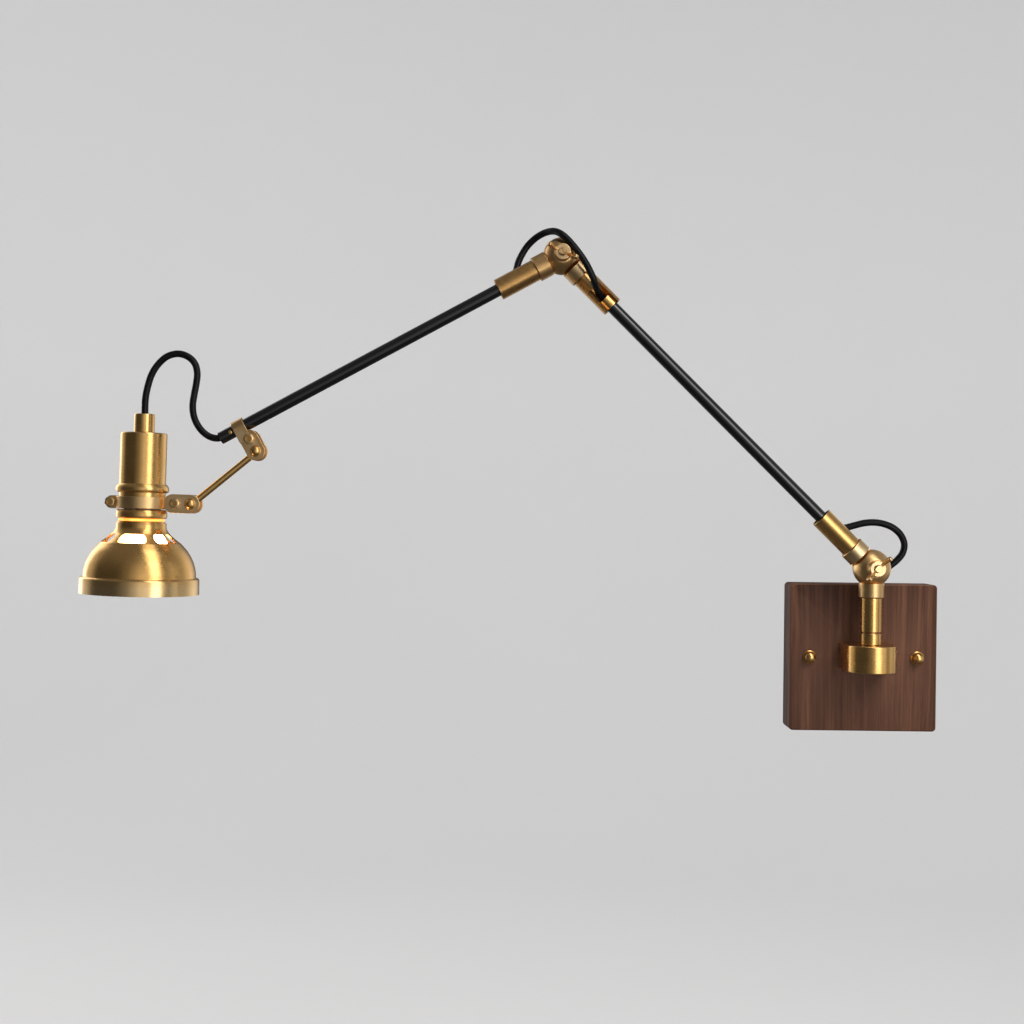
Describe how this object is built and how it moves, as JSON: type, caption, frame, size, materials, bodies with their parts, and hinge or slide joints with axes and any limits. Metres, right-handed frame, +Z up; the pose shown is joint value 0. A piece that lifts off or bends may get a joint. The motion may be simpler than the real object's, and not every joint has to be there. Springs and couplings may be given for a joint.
{
  "type": "swing arm wall sconce",
  "caption": "Wall lamp with a square wooden plate, a swivelling brass post, black tube arms on wing-nut ball knuckles and a vented dome shade on a link.",
  "frame": {"origin": "centre of the mounting strap's back face, in the plane of the wall, at the centre of the square wall plate", "axes": "+X right along the wall as seen from the room, +Y into the wall, +Z up"},
  "size_m": [0.692, 0.0978, 0.4027],
  "materials": {
    "brass": "brushed, lacquered",
    "bronze": "brushed, darker",
    "walnut": "oiled, vertical grain",
    "black_paint": "gloss",
    "steel": "zinc plated",
    "plastic": "moulded",
    "porcelain": "glazed",
    "silicone": "translucent amber",
    "pvc": "satin flexible PVC",
    "glass": "frosted, warm white",
    "nickel": "nickel plated"
  },
  "bodies": {
    "wall_mount": {"wall_plate": "walnut", "mounting_strap": "steel", "mounting_stud_left": "steel", "mounting_stud_right": "steel", "cap_nut_left": "brass", "cap_nut_right": "brass", "terminal_block": "plastic", "supply_lead": "pvc", "drum": "brass", "drum_cover": "brass", "wall_nipple": "steel", "nipple_nut": "steel", "post_collar": "brass", "swivel_washer": "bronze"},
    "post": {"swivel_spigot": "steel", "spigot_nut": "steel", "post_sleeve": "brass", "shoulder_front": "brass", "shoulder_bolt": "brass", "post_lead": "pvc"},
    "shoulder_nut": {"shoulder_wing_nut": "brass"},
    "arm_1": {"shoulder_rear": "brass", "arm_1_lower_sleeve": "brass", "arm_1_lower_bush": "brass", "arm_1_tube": "black_paint", "arm_1_upper_bush": "brass", "arm_1_upper_sleeve": "bronze", "elbow_rear": "bronze", "arm_1_lead": "pvc", "shoulder_loop": "pvc"},
    "arm_2": {"elbow_front": "bronze", "elbow_bolt": "bronze", "arm_2_sleeve": "bronze", "arm_2_bush": "bronze", "arm_2_tube": "black_paint", "stop_pin": "brass", "arm_2_lead": "pvc", "clamp_strap": "brass", "clamp_screw": "brass", "clamp_rivet": "brass", "elbow_loop": "pvc"},
    "elbow_nut": {"elbow_wing_nut": "bronze"},
    "link": {"link_rod": "brass", "head_lead_upper": "pvc"},
    "head": {"band_front": "brass", "band_rear": "brass", "band_screw_left": "brass", "band_screw_right": "brass", "band_rivet": "brass", "cord_grip": "brass", "socket_cover": "brass", "bead_ring": "brass", "lampholder": "porcelain", "neck_ring": "brass", "neck_gasket": "silicone", "shade": "brass", "head_lead_lower": "pvc"},
    "bulb": {"bulb_cap": "nickel", "bulb_glass": "glass"}
  },
  "joints": [
    {"name": "base_swivel", "type": "hinge", "parent": "wall_mount", "child": "post", "pos_m": [0, -0.052, 0.0226], "axis": [0, 0, 1], "range_deg": [0, 180]},
    {"name": "shoulder", "type": "hinge", "parent": "post", "child": "arm_1", "pos_m": [0, -0.052, 0.0741], "axis": [0, -1, 0], "range_deg": [-135, 44], "deforming": ["shoulder_loop"]},
    {"name": "elbow", "type": "hinge", "parent": "arm_1", "child": "arm_2", "pos_m": [-0.25106, -0.052, 0.32082], "axis": [0, -1, 0], "range_deg": [-163, 16], "deforming": ["elbow_loop"]},
    {"name": "link_swing", "type": "hinge", "parent": "arm_2", "child": "link", "pos_m": [-0.49324, -0.052, 0.16144], "axis": [0, -1, 0], "range_deg": [-40, 60], "deforming": ["head_lead_upper"]},
    {"name": "head_tilt", "type": "hinge", "parent": "link", "child": "head", "pos_m": [-0.54479, -0.052, 0.11864], "axis": [0, -1, 0], "range_deg": [-18, 75], "deforming": ["head_lead_lower"]},
    {"name": "shoulder_nut_turn", "type": "hinge", "parent": "post", "child": "shoulder_nut", "pos_m": [0, -0.052, 0.0741], "axis": [0, -1, 0], "range_deg": [0, 360]},
    {"name": "elbow_nut_turn", "type": "hinge", "parent": "arm_2", "child": "elbow_nut", "pos_m": [-0.25106, -0.052, 0.32082], "axis": [0, -1, 0], "range_deg": [0, 360]},
    {"name": "bulb_turn", "type": "hinge", "parent": "head", "child": "bulb", "pos_m": [-0.58478, -0.052, 0.11941], "axis": [0.0192, 0, 0.9998], "range_deg": [0, 360]}
  ]
}
